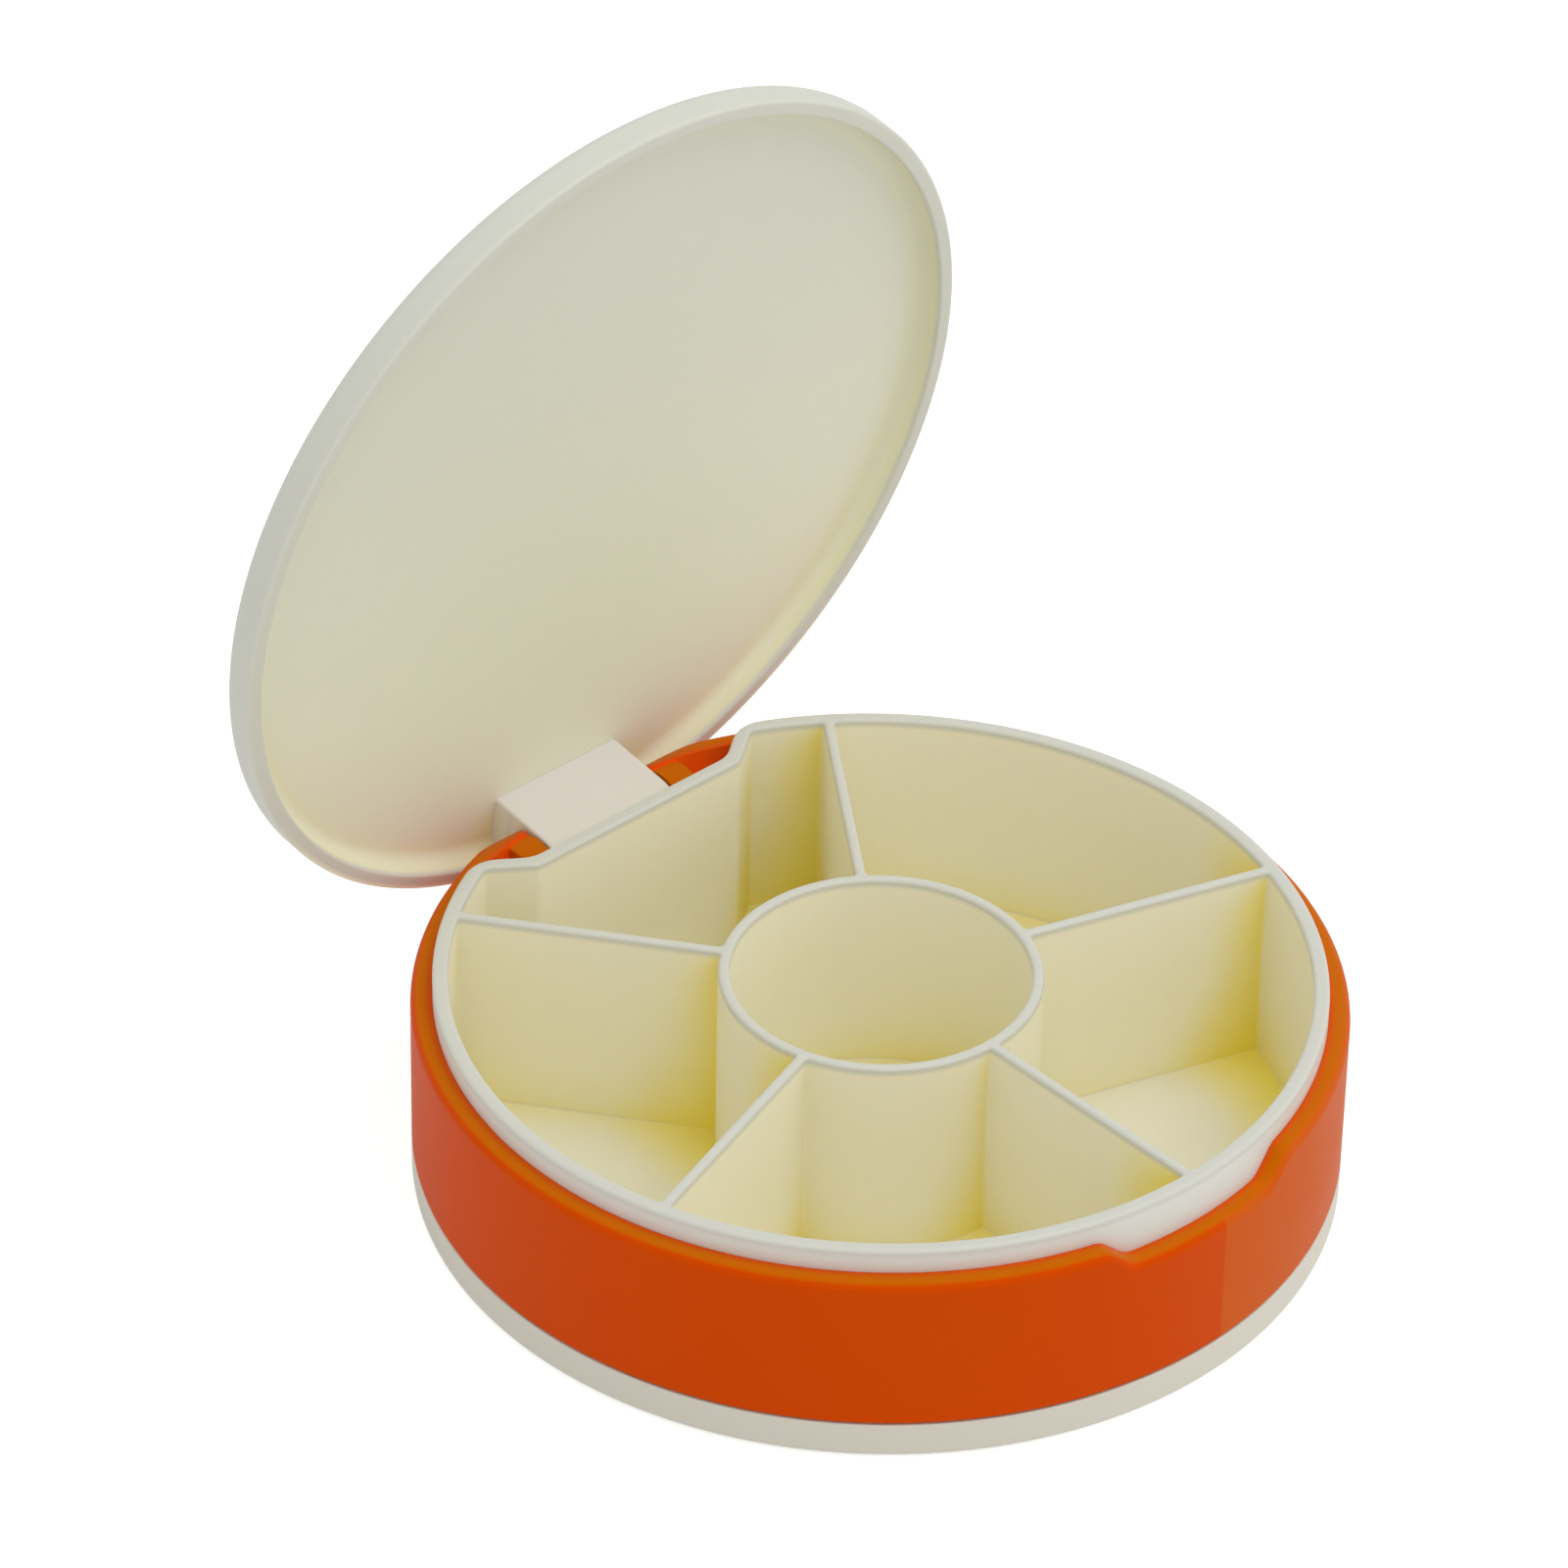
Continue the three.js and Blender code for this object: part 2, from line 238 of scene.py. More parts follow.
def solid(name, mesh):
    """Turns a closed mesh outwards and makes a piece of it."""
    bmesh.ops.recalc_face_normals(mesh, faces=mesh.faces)
    data = bpy.data.meshes.new(name)
    mesh.to_mesh(data)
    mesh.free()
    piece = bpy.data.objects.new(name, data)
    bpy.context.scene.collection.objects.link(piece)
    return piece


def revolve(name, profile, turns):
    """A solid turned about the vertical axis from (radius, height) points, in order round it."""
    mesh = bmesh.new()
    rings = []
    for radius, height in profile:
        if radius == 0:
            rings.append([mesh.verts.new((0, 0, height * MM))] * turns)
        else:
            rings.append(ring_of(mesh, circle(radius, turns), height))
    for low, high in zip(rings, rings[1:] + rings[:1]):
        if len(set(low)) == 1 and len(set(high)) == 1:
            continue
        for i in range(turns):
            j = (i + 1) % turns
            corners = [low[i], low[j], high[j], high[i]]
            mesh.faces.new(list(dict.fromkeys(corners)))
    return solid(name, mesh)


def round_over(radius, height, size, start, end, steps):
    """Profile points of a round between two angles in degrees, 0 outwards and 90 up."""
    points = []
    for i in range(steps + 1):
        a = math.radians(start + (end - start) * i / steps)
        points.append((radius + size * math.cos(a), height + size * math.sin(a)))
    return points


def combine(piece, other, operation):
    """Joins, trims or cuts a piece with another solid, which is used up."""
    step = piece.modifiers.new(operation.lower(), "BOOLEAN")
    step.operation = operation
    step.solver = "EXACT"
    step.object = other
    bpy.context.view_layer.update()
    shaped = piece.evaluated_get(bpy.context.evaluated_depsgraph_get())
    data = bpy.data.meshes.new_from_object(shaped)
    data.name = piece.name
    piece.modifiers.clear()
    piece.data = data
    bpy.data.objects.remove(other)


def surface(piece, material, sharp=38):
    """Smooth shading but for edges over `sharp` degrees, and the piece's own material."""
    piece.data.shade_smooth()
    piece.data.set_sharp_from_angle(angle=math.radians(sharp))
    weigh = piece.modifiers.new("weigh", "WEIGHTED_NORMAL")
    weigh.keep_sharp = True
    weigh.weight = 90
    piece.data.materials.clear()
    piece.data.materials.append(material)


def notch_corner_round(corner):
    """How far from a corner of the notch its round starts, more where it meets the round wall."""
    return shoulder_round if corner.length > wall_radius - 0.5 else notch_round


def tray_walls():
    """Wall, dividers and cup as one block with six blind pockets sunk into it."""
    mesh = bmesh.new()
    quarter = [math.radians(90 * i / round_steps) for i in range(round_steps + 1)]
    seam = -math.pi / 2
    outline = wall_line(seam, seam + 2 * math.pi, 0, turn_steps)[:-1]
    outline = soften(outline, notch_corner_round)
    rings = [ring_of(mesh, outline, floor_slab / 3)]
    for a in reversed(quarter):
        inset = rim_round * (1 - math.sin(a))
        drop = rim_round * (1 - math.cos(a))
        rings.append(ring_of(mesh, grow(outline, -inset), tray_top - drop))
    skin_all(mesh, rings)
    mesh.faces.new(rings[0])
    rims = [rings[-1]]
    pitch = 2 * math.pi / divider_count
    starts = [first_divider + i * pitch for i in range(divider_count)]
    wells = [pocket(start, start + pitch) for start in starts]
    wells.append(circle(cup_radius - cup_wall, cup_turns))
    for well in wells:
        rings = []
        for a in quarter:
            out = rim_round * (1 - math.sin(a))
            drop = rim_round * (1 - math.cos(a))
            rings.append(ring_of(mesh, grow(well, out), tray_top - drop))
        for a in quarter:
            inset = floor_fillet * (1 - math.cos(a))
            rise = floor_fillet * (1 - math.sin(a))
            rings.append(ring_of(mesh, grow(well, -inset), tray_floor + rise))
        skin_all(mesh, rings)
        mesh.faces.new(rings[-1])
        rims.append(rings[0])
    mesh.edges.ensure_lookup_table()
    edges = []
    for rim in rims:
        for i, corner in enumerate(rim):
            edges.append(mesh.edges.get((corner, rim[i - 1])))
    bmesh.ops.triangle_fill(mesh, edges=edges, use_beauty=True)
    return solid("tray_shell", mesh)


foot_profile = [(0, 0)]
foot_profile += round_over(foot_radius - foot_edge, foot_edge, foot_edge, -90, 0, steps=7)
foot_shoulder = (foot_radius - foot_top_round, foot_height - foot_top_round)
foot_profile += round_over(*foot_shoulder, foot_top_round, 0, 90, steps=3)
foot_profile += [(wall_radius - foot_overlap, foot_height), (wall_radius - foot_overlap, floor_slab)]
foot_profile += [(0, floor_slab)]
tray = tray_walls()
combine(tray, revolve("foot", foot_profile, turn_steps), "UNION")


def group_nodes(name, inputs, outputs):
    """An empty shader node group with named sockets, ready to be wired."""
    group = bpy.data.node_groups.new(name, "ShaderNodeTree")
    for label, kind, value in inputs:
        socket = group.interface.new_socket(label, in_out="INPUT", socket_type=kind)
        if value is not None:
            socket.default_value = value
    for label, kind in outputs:
        group.interface.new_socket(label, in_out="OUTPUT", socket_type=kind)
    return group, group.nodes.new("NodeGroupInput"), group.nodes.new("NodeGroupOutput")


def feed(tree, socket, value):
    """Gives an input its value, or a link to where the value comes from."""
    if isinstance(value, bpy.types.NodeSocket):
        tree.links.new(value, socket)
    else:
        socket.default_value = value


def add_node(tree, kind, settings=None, **values):
    """Adds a node, its settings and its inputs: Scale=... is the input of that name, _0=... the first."""
    node = tree.nodes.new(kind)
    for key, value in (settings or {}).items():
        setattr(node, key, value)
    for key, value in values.items():
        label = key.replace("_", " ")
        socket = node.inputs[int(label[1:])] if label[1:].isdigit() else node.inputs[label]
        feed(tree, socket, value)
    return node


def reckon(tree, operation, *values):
    """One step of arithmetic on values of a surface."""
    node = add_node(tree, "ShaderNodeMath", {"operation": operation})
    for socket, value in zip(node.inputs, values):
        feed(tree, socket, value)
    return node.outputs[0]


def cloud(tree, place, scale, **values):
    """A soft noise over the surface, `scale` lumps to the metre."""
    return add_node(tree, "ShaderNodeTexNoise", None, Vector=place, Scale=scale, **values).outputs[0]


def stretch(tree, value, start=0.0, end=1.0, low=0.0, high=1.0, ease="LINEAR"):
    """A straight ramp of a value from `low` at start to `high` at end."""
    eased = {"interpolation_type": ease}
    ramp = add_node(tree, "ShaderNodeMapRange", eased, Value=value, From_Min=start, From_Max=end)
    ramp.inputs["To Min"].default_value = low
    ramp.inputs["To Max"].default_value = high
    return ramp.outputs[0]


def moulded_skin():
    """The surface of a satin mould: orange peel and spark grain, faint flow mottle, hairline scuffs."""
    sockets_in = [
        ("Position", "NodeSocketVector", None),
        ("Grain Size", "NodeSocketFloat", 0.35),
        ("Scuff Amount", "NodeSocketFloat", 0.5),
    ]
    sockets_out = [
        ("Height", "NodeSocketFloat"),
        ("Mottle", "NodeSocketFloat"),
        ("Scuff", "NodeSocketFloat"),
    ]
    tree, enter, leave = group_nodes("moulded_skin", sockets_in, sockets_out)
    place = enter.outputs["Position"]
    lumps_per_metre = reckon(tree, "DIVIDE", 1000.0, enter.outputs["Grain Size"])
    grain = cloud(tree, place, scale=lumps_per_metre, Detail=2.0)
    peel = cloud(tree, place, scale=210.0, Detail=1.0)
    height = reckon(tree, "ADD", reckon(tree, "MULTIPLY", grain, grain_share), peel)
    flow = cloud(tree, place, scale=34.0, Detail=3.0, Roughness=0.55, Distortion=0.6)
    mottle = stretch(tree, flow, start=0.3, end=0.7)
    swirl = cloud(tree, place, scale=95.0, Detail=1.0, Distortion=2.6)
    from_middle = reckon(tree, "ABSOLUTE", reckon(tree, "SUBTRACT", swirl, 0.5))
    hairline = stretch(tree, from_middle, start=0.0, end=0.006, low=1.0, high=0.0)
    patches = stretch(tree, cloud(tree, place, scale=55.0, Detail=1.0), start=0.52, end=0.62)
    scratches = reckon(tree, "MULTIPLY", hairline, patches)
    scuff = reckon(tree, "MULTIPLY", scratches, enter.outputs["Scuff Amount"])
    tree.links.new(height, leave.inputs["Height"])
    tree.links.new(mottle, leave.inputs["Mottle"])
    tree.links.new(scuff, leave.inputs["Scuff"])
    return tree


skin_group = moulded_skin()


def plastic(name, grain, scuffs):
    """Starts a plastic with its shader, its place on the piece and its moulded skin."""
    material = bpy.data.materials.new(name)
    material.use_nodes = True
    tree = material.node_tree
    shader = tree.nodes["Principled BSDF"]
    place = tree.nodes.new("ShaderNodeTexCoord").outputs["Object"]
    grained = add_node(tree, "ShaderNodeGroup", {"node_tree": skin_group}, Position=place)
    grained.inputs["Grain Size"].default_value = grain
    grained.inputs["Scuff Amount"].default_value = scuffs
    return material, tree, shader, place, grained


def blend_colours(tree, share, first, second):
    """Runs from one colour to another by a mask."""
    mix = tree.nodes.new("ShaderNodeMix")
    mix.data_type = "RGBA"
    tree.links.new(share, mix.inputs["Factor"])
    for label, value in (("A", first), ("B", second)):
        socket = [s for s in mix.inputs if s.name == label and s.type == "RGBA"][0]
        feed(tree, socket, (*value, 1) if isinstance(value, tuple) else value)
    return [s for s in mix.outputs if s.type == "RGBA"][0]


def between(tree, value, start, end, low=0.0, high=1.0):
    """A smooth ramp of a value from `low` at start to `high` at end."""
    return stretch(tree, value, start, end, low, high, ease="SMOOTHSTEP")


def roughen(tree, shader, grained, low, high, bump):
    """Roughness from the mottle and the scuffs, and the grain as a bump `bump` millimetres high."""
    even = stretch(tree, grained.outputs["Mottle"], low=low, high=high)
    worn = reckon(tree, "MULTIPLY_ADD", grained.outputs["Scuff"], scuff_roughness, even)
    tree.links.new(worn, shader.inputs["Roughness"])
    raised = add_node(tree, "ShaderNodeBump", None, Height=grained.outputs["Height"], Strength=1.0)
    raised.inputs["Distance"].default_value = bump * MM
    tree.links.new(raised.outputs["Normal"], shader.inputs["Normal"])


def let_light_in(shader, gloss, share, radius, depth):
    """How much a plastic shines, and how deep each colour of light goes into it, in millimetres."""
    shader.inputs["IOR"].default_value = 1.49
    shader.inputs["Specular IOR Level"].default_value = gloss
    shader.inputs["Subsurface Weight"].default_value = share
    shader.inputs["Subsurface Radius"].default_value = radius
    shader.inputs["Subsurface Scale"].default_value = depth * MM


def occlusion_shade_mask(tree, reach, start, end, lean=(0, 0, 0)):
    """A mask for painted shade: how deep a spot lies in a corner of its own piece, felt more on the side
    that `lean` names.

    It is 0 where more than `start` of the sky over the spot is open within `reach` millimetres,
    and 1 where less than `end` is.
    """
    depth = add_node(tree, "ShaderNodeAmbientOcclusion", {"samples": 8, "only_local": True})
    depth.inputs["Distance"].default_value = reach * MM
    facing = tree.nodes.new("ShaderNodeNewGeometry").outputs["Normal"]
    leant = add_node(tree, "ShaderNodeVectorMath", {"operation": "ADD"}, _0=facing, _1=lean)
    level = add_node(tree, "ShaderNodeVectorMath", {"operation": "NORMALIZE"}, _0=leant.outputs[0])
    tree.links.new(level.outputs[0], depth.inputs["Normal"])
    return between(tree, depth.outputs["AO"], start, end)


def fade(tree, value, start, end):
    """A mask that runs from 0 at one distance to 1 at another, both in millimetres."""
    return between(tree, value, start * MM, end * MM)


def from_axis(tree, place):
    """How far a spot is from the vertical axis of the box."""
    flat = add_node(tree, "ShaderNodeVectorMath", {"operation": "MULTIPLY"}, _0=place, _1=(1, 1, 0))
    reach = add_node(tree, "ShaderNodeVectorMath", {"operation": "LENGTH"}, _0=flat.outputs[0])
    return reach.outputs["Value"]


def both(tree, first, second):
    """A mask that holds where two masks do."""
    return reckon(tree, "MULTIPLY", first, second)


def either(tree, first, second):
    """A mask that holds wherever one of two masks does."""
    return reckon(tree, "MAXIMUM", first, second)


tray_cream, tree, shader, place, grained = plastic("tray_cream", grain=0.35, scuffs=0.5)
axes = add_node(tree, "ShaderNodeSeparateXYZ", None, Vector=place)
warm = blend_colours(tree, grained.outputs["Mottle"], warm_cream, mottled_cream)
on_floor = fade(tree, axes.outputs["Z"], tray_floor + 0.5, tray_floor + 0.05)
body = blend_colours(tree, on_floor, warm, floor_cream)
# Painted shade: the corners and floors of the pockets go amber where little sky is open over them, more on
# the side away from the lights.
painted_shade_in_corners = occlusion_shade_mask(tree, painted_shade_reach, start=0.62, end=0.1, lean=painted_shade_lean)
with_corner_shade = blend_colours(tree, painted_shade_in_corners, body, painted_corner_shade)
outside = fade(tree, from_axis(tree, place), wall_radius - 0.9, wall_radius - 0.3)
# Painted light and shade: the foot below the ring is a darker, warmer cream, standing in for shade and
# warm bounced light near the table.
above_ring = fade(tree, axes.outputs["Z"], foot_bounce_top, collar_cream_bottom)
outer_skin = blend_colours(tree, above_ring, foot_painted_bounce, collar_cream)
skinned = blend_colours(tree, outside, with_corner_shade, outer_skin)
# Painted light: the rounded rims are greyer and less yellow, as they catch the light from above and little
# of its bounce.
lit_rim = fade(tree, axes.outputs["Z"], tray_top - 1.1, tray_top - 0.2)
colour = blend_colours(tree, lit_rim, skinned, rim_painted_light)
tree.links.new(colour, shader.inputs["Base Color"])
roughen(tree, shader, grained, low=0.38, high=0.46, bump=0.018)
let_light_in(shader, gloss=0.42, share=0.25, radius=(1.0, 0.8, 0.45), depth=1.2)

surface(tray, tray_cream)
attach(tray, "base")
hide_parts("tray")

# ---- housing ring ------------------------------------------------------------------------------------
# The orange polypropylene band that holds the tray: a plain wall with a rounded rim, let down at the
# front for the thumb. Inside the rear wall are the two hinge lugs, with the slot between them where
# the lid's knuckle turns. It is moulded in one piece and snaps over the tray.

ring_low, ring_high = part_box("housing_ring")
hinge = next(joint for joint in frame["joints"] if joint["name"] == "lid_hinge")
hinge_y = hinge["pos_m"][1] / MM
hinge_z = hinge["pos_m"][2] / MM
band_radius = foot_radius
seat_lap = 0.15
band_bottom = ring_low.z / MM - seat_lap
band_top = ring_high.z / MM
band_bore = wall_radius - 0.01
band_turns = 720
lower_edge = 0.2
outer_round = 0.95
inner_round = 0.07
thumb_drop = 2.35
thumb_floor = math.radians(10.6)
thumb_end = math.radians(16)
lug_radius = 4.1
lug_end = 11.2
lug_edge = 0.25
lug_drop = 5
lug_root = 3.4
lug_inset = 0.3
relief_radius = 4.45
relief_half_width = 17.4
relief_front = 3
relief_dip = 2.2
slot_half_width = 8.15
slot_floor = 9.8
slot_round = 1
slot_reach = 9
bore_radius = 1.06
bore_turns = 32
# How far the cutters stand past what they cut.
bore_past = 0.5
past = 1
colour_step_angle = math.radians(2.5)
colour_step_blur = 0.1

# Colours, and the heights between which the rear wall is painted with a glow.
orange = (0.69, 0.068, 0.0006)
mottled_orange = (0.69, 0.075, 0.0008)
stepped_side_orange = (0.67, 0.112, 0.009)
painted_recess_shade = (1.0, 0.04, 0.0)
inner_edge_shade_orange = (0.72, 0.095, 0.006)
crest_painted_light_orange = (0.61, 0.135, 0.001)
glow_red_painted = (1, 0.09, 0)
unlit = (0, 0, 0)
shine_tint = (1.0, 0.3, 0.02, 1)
glow_bottom = 12
glow_top = 15


def across(name, outline, half_width, edge=0.0, steps=3):
    """A solid drawn from the side, in Y and Z, that runs across the hinge with rounded ends."""
    mesh = bmesh.new()
    sections = []
    if edge:
        for i in range(steps + 1):
            a = math.radians(90 * i / steps)
            sections.append((half_width - edge * (1 - math.sin(a)), edge * (1 - math.cos(a))))
    else:
        sections.append((half_width, 0))
    ends = [(-x, inset) for x, inset in reversed(sections)] + sections
    rings = []
    for x, inset in ends:
        rings.append([mesh.verts.new((x * MM, p.x * MM, p.y * MM)) for p in grow(outline, -inset)])
    skin_all(mesh, rings)
    mesh.faces.new(rings[0])
    mesh.faces.new(rings[-1])
    return solid(name, mesh)


def arc(y, z, radius, start, end, steps):
    """Points of an arc in the side view, from one angle in degrees to another."""
    return [Vector(p) for p in round_over(y, z, radius, start, end, steps)]


band_profile = [(band_bore, band_bottom), (band_radius - lower_edge, band_bottom)]
band_profile += [(band_radius, band_bottom + lower_edge)]
band_profile += round_over(band_radius - outer_round, band_top - outer_round, outer_round, 0, 90, steps=8)
band_profile += round_over(band_bore + inner_round, band_top - inner_round, inner_round, 90, 180, steps=5)
ring = revolve("housing_band", band_profile, band_turns)
for corner in ring.data.vertices:
    if corner.co.z > (band_bottom + band_top) / 2 * MM:
        turn = abs(math.atan2(corner.co.x, -corner.co.y))
        t = min(1.0, max(0.0, (turn - thumb_floor) / (thumb_end - thumb_floor)))
        corner.co.z -= thumb_drop * (1 - t * t * (3 - 2 * t)) * MM

lug_bottom = band_bottom + 0.1
lug = [Vector((hinge_y - lug_radius, hinge_z - lug_drop)), Vector((band_radius - lug_root, lug_bottom))]
lug += [Vector((band_radius, lug_bottom)), Vector((band_radius, hinge_z))]
lug += arc(hinge_y, hinge_z, lug_radius, 0, 180, steps=28)
lugs = across("lugs", lug, lug_end, lug_edge)
lug_limit = band_radius - lug_inset
above_all = 30
within = [(0, 0), (lug_limit, 0), (lug_limit, above_all), (0, above_all)]
combine(lugs, revolve("inside", within, turn_steps), "INTERSECT")
combine(ring, lugs, "UNION")

relief_start = math.degrees(math.acos(-relief_dip / relief_radius))
sweep = [Vector((band_radius + 2 * past, hinge_z)), Vector((band_radius + 2 * past, band_top + past))]
sweep += [Vector((hinge_y - relief_front, band_top + past))]
sweep += arc(hinge_y, hinge_z, relief_radius, relief_start, 0, steps=28)
combine(ring, across("relief", sweep, relief_half_width), "DIFFERENCE")

slot_mesh = bmesh.new()
slot_side = slot_half_width - slot_round
slot_shape = [Vector((-slot_half_width, band_top + 2 * past))]
slot_shape += arc(-slot_side, slot_floor + slot_round, slot_round, 180, 270, steps=6)
slot_shape += arc(slot_side, slot_floor + slot_round, slot_round, 270, 360, steps=6)
slot_shape += [Vector((slot_half_width, band_top + 2 * past))]
slot_ends = []
for y in (band_radius - slot_reach, band_radius + 3 * past):
    slot_ends.append([slot_mesh.verts.new((p.x * MM, y * MM, p.y * MM)) for p in slot_shape])
skin(slot_mesh, *slot_ends)
slot_mesh.faces.new(slot_ends[0])
slot_mesh.faces.new(slot_ends[1])
combine(ring, solid("slot", slot_mesh), "DIFFERENCE")
bore_shape = [p + Vector((hinge_y, hinge_z)) for p in circle(bore_radius, bore_turns)]
combine(ring, across("bore", bore_shape, lug_end + bore_past), "DIFFERENCE")
ring.name = "housing"

ring_orange, tree, shader, place, grained = plastic("ring_orange", grain=0.3, scuffs=0.8)
axes = add_node(tree, "ShaderNodeSeparateXYZ", None, Vector=place)
# The orange is a lighter tone on one side of a vertical line that runs down the band at the front and the
# back.
left_of_step_orange = blend_colours(tree, grained.outputs["Mottle"], orange, mottled_orange)
about_z = {"rotation_type": "Z_AXIS"}
turned = add_node(tree, "ShaderNodeVectorRotate", about_z, Vector=place, Angle=-colour_step_angle)
step_axes = add_node(tree, "ShaderNodeSeparateXYZ", None, Vector=turned.outputs[0])
right_of_step = fade(tree, step_axes.outputs["X"], -colour_step_blur, colour_step_blur)
stepped_orange = blend_colours(tree, right_of_step, left_of_step_orange, stepped_side_orange)
# Painted shade: the hollows of the ring, such as the recess by the hinge, go a deep red.
hollow_shade = occlusion_shade_mask(tree, reach=6, start=0.99, end=0.8)
body = blend_colours(tree, hollow_shade, stepped_orange, painted_recess_shade)
reach = from_axis(tree, place)
thumb_rim = band_top - thumb_drop
on_rim = fade(tree, axes.outputs["Z"], thumb_rim - 1.2, thumb_rim - 0.9)
# Painted shade: the strip of rim along the tray wall has its own orange, set for the shade it lies in.
edge_strip_shade = both(tree, on_rim, fade(tree, reach, band_bore + 0.9, band_bore + 0.3))
with_edge_shade = blend_colours(tree, edge_strip_shade, body, inner_edge_shade_orange)
# Painted light: the crest of the rim and the tops of the lugs are a lighter, yellower orange where they
# face up to the light.
crest = both(tree, fade(tree, reach, band_radius - 0.25, band_radius - 0.65), on_rim)
lit_rim = both(tree, crest, fade(tree, reach, band_bore + 0.25, band_bore + 0.8))
within_bore = fade(tree, reach, band_bore - 0.1, band_bore - 0.3)
lug_tops = both(tree, within_bore, fade(tree, axes.outputs["Z"], hinge_z + 1, hinge_z + 3))
colour = blend_colours(tree, either(tree, lit_rim, lug_tops), with_edge_shade, crest_painted_light_orange)
tree.links.new(colour, shader.inputs["Base Color"])
# Painted light: the thin rear wall glows above the pin and beside the lugs, standing in for light from
# outside showing through it.
above_pin = both(tree, hollow_shade, fade(tree, axes.outputs["Z"], glow_bottom, glow_top))
painted_glow = blend_colours(tree, above_pin, unlit, glow_red_painted)
glow = blend_colours(tree, lug_tops, painted_glow, unlit)
tree.links.new(glow, shader.inputs["Emission Color"])
shader.inputs["Emission Strength"].default_value = 0.2
roughen(tree, shader, grained, low=0.36, high=0.44, bump=0.014)
let_light_in(shader, gloss=0.06, share=0.15, radius=(1.0, 0.25, 0.05), depth=1.0)
shader.inputs["Specular Tint"].default_value = shine_tint

surface(ring, ring_orange)
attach(ring, "base")
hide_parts("housing_ring")

# ---- hinge pin ---------------------------------------------------------------------------------------
# A straight pin of drawn steel wire, cut and tumbled so that its ends are rounded. It is pressed
# through the two lugs, and the knuckle of the lid turns on it.

pin_radius = 1.0
pin_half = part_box("hinge_pin")[1].x / MM
pin_round = 0.3
pin_flat = 0.45
pin_turns = 48
dark_steel = (0.46, 0.47, 0.49)
bright_steel = (0.62, 0.62, 0.63)
drawn_lines = (60, 4000, 4000)

pin_profile = [(0, -pin_half), (pin_flat, -pin_half)]
pin_profile += round_over(pin_radius - pin_round, pin_round - pin_half, pin_round, -90, 0, steps=4)
pin_profile += round_over(pin_radius - pin_round, pin_half - pin_round, pin_round, 0, 90, steps=4)
pin_profile += [(pin_flat, pin_half), (0, pin_half)]
pin = revolve("steel_pin", pin_profile, pin_turns)
to_hinge = Matrix.Translation((0, hinge_y * MM, hinge_z * MM)) @ Matrix.Rotation(math.pi / 2, 4, "Y")
pin.data.transform(to_hinge)

pin_steel = bpy.data.materials.new("pin_steel")
pin_steel.use_nodes = True
tree = pin_steel.node_tree
shader = tree.nodes["Principled BSDF"]
place = tree.nodes.new("ShaderNodeTexCoord").outputs["Object"]
drawn = add_node(tree, "ShaderNodeMapping", None, Vector=place)
drawn.inputs["Scale"].default_value = drawn_lines
lines = cloud(tree, drawn.outputs[0], scale=1.0, Detail=3.0)
colour = blend_colours(tree, lines, dark_steel, bright_steel)
tree.links.new(colour, shader.inputs["Base Color"])
tree.links.new(stretch(tree, lines, low=0.22, high=0.4), shader.inputs["Roughness"])
shader.inputs["Metallic"].default_value = 1.0

surface(pin, pin_steel)
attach(pin, "base")
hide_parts("hinge_pin")

# ---- lid -----------------------------------------------------------------------------------------------
# A shallow cream polypropylene cap: a flat plate with a crowned outer edge, a short skirt whose inside
# is coved into the plate, and the square hinge knuckle. One moulding, drawn here closed on the ring
# and then swung open about the pin.

lid_radius = 44.815
lid_gap = 0.3
lid_lip = band_top + lid_gap
lid_height = 4.13
lid_depth = 2.45
lid_bore = 43.17
lid_draft = 0.06
lid_cove = 1.3
lid_crown = 1.9
lip_inner_round = 0.25
lip_outer_round = 0.35
plate_middle = 20
lid_face = lid_lip + lid_depth
lid_top = lid_lip + lid_height
knuckle_radius = 4.24
knuckle_half = 7.85
knuckle_edge = 0.3
knuckle_root = 0.5
knuckle_inset = 0.04

# The plate's colour runs from far to near the hinge: painted light near the hinge, where the tray and ring
# keep light from the plate.
far_cream = (0.735, 0.745, 0.64)
near_painted_light = (0.87, 0.86, 0.675)
near_lit_mottled = (0.87, 0.865, 0.695)
knuckle_cream = (0.80, 0.76, 0.705)
painted_cove_shade = (0.92, 0.90, 0.56)
lip_painted_light = (0.685, 0.69, 0.61)
low_edge_painted_light = (0.93, 0.92, 0.70)

shell_profile = [(0, lid_face), (plate_middle, lid_face)]
shell_profile += round_over(lid_bore - lid_draft - lid_cove, lid_face - lid_cove, lid_cove, 90, 0, steps=8)
lip_inside = (lid_bore + lip_inner_round, lid_lip + lip_inner_round)
shell_profile += round_over(*lip_inside, lip_inner_round, 180, 270, steps=4)
lip_outside = (lid_radius - lip_outer_round, lid_lip + lip_outer_round)
shell_profile += round_over(*lip_outside, lip_outer_round, -90, 0, steps=5)
shell_profile += round_over(lid_radius - lid_crown, lid_top - lid_crown, lid_crown, 0, 90, steps=12)
shell_profile += [(plate_middle, lid_top), (0, lid_top)]
lid = revolve("lid_shell", shell_profile, turn_steps)

